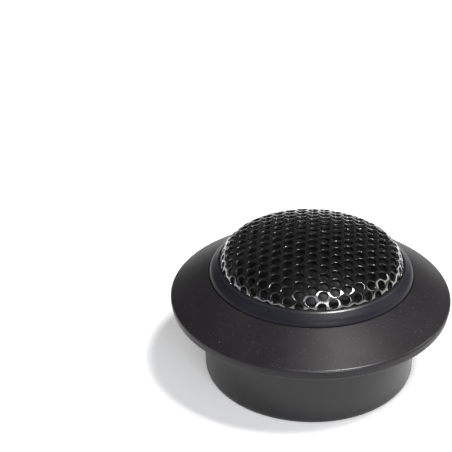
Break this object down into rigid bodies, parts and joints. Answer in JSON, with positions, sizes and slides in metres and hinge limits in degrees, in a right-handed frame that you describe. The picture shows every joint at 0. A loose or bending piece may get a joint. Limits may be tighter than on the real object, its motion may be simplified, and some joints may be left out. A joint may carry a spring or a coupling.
{
  "type": "car tweeter",
  "caption": "Round flush-mount dome tweeter: a capsule with a domed honeycomb grille, twist-locked in a cup with a conical flange.",
  "frame": {"origin": "on the axis, in the plane of the panel surface that the flange's rim rests on", "axes": "+Z out of the grille along the axis, the fixing holes and the blades lie along X, the blades' side is -Y"},
  "size_m": [0.06, 0.06, 0.0327],
  "materials": {
    "flange_plastic": "satin moulded ABS with a fine spark-eroded grain",
    "bezel_plastic": "satin moulded ABS, a little smoother than the flange",
    "inner_plastic": "plain moulded ABS",
    "grommet_rubber": "soft black rubber",
    "grille_paint": "gloss black paint on perforated steel",
    "gasket_foam": "closed-cell foam strip",
    "coated_silk": "woven silk with a glossy damping coat",
    "surround_silk": "woven silk with a tacky damping coat",
    "former_film": "amber polyimide film",
    "winding_copper": "enamelled copper-clad wire",
    "tinsel_wire": "braided tinsel wire",
    "felt": "grey wool felt",
    "zinc_steel": "turned steel with bright zinc plating",
    "nickel_magnet": "nickel-plated neodymium",
    "chamber_foam": "open-cell foam",
    "screw_steel": "zinc-plated screws",
    "phenolic_board": "brown resin-bonded paper board",
    "terminal_brass": "stamped brass, tin flashed"
  },
  "bodies": {
    "mount": {"flush_cup": "flange_plastic", "cable_grommet": "grommet_rubber"},
    "capsule": {"bezel_ring": "bezel_plastic", "grille": "grille_paint", "clamp_ring": "inner_plastic", "diaphragm_gasket": "gasket_foam", "face_plate": "inner_plastic", "surround": "surround_silk", "tinsel_leads": "tinsel_wire", "felt_pad": "felt", "pole_plate": "zinc_steel", "magnet": "nickel_magnet", "yoke": "zinc_steel", "chamber_foam": "chamber_foam", "capsule_shell": "inner_plastic", "shell_screws": "screw_steel", "terminal_board": "phenolic_board", "terminal_wide": "terminal_brass", "terminal_narrow": "terminal_brass"},
    "diaphragm": {"dome": "coated_silk", "coil_former": "former_film", "coil_winding": "winding_copper"}
  },
  "joints": [
    {"name": "capsule_twist", "type": "hinge", "parent": "mount", "child": "capsule", "pos_m": [0, 0, 0], "axis": [0, 0, 1], "range_deg": [-30, 0]},
    {"name": "diaphragm_travel", "type": "slide", "parent": "capsule", "child": "diaphragm", "axis": [0, 0, 1], "range_m": [-0.0004, 0.0004], "stiffness_N_per_m": 400, "deforming": ["surround", "tinsel_leads"]}
  ]
}
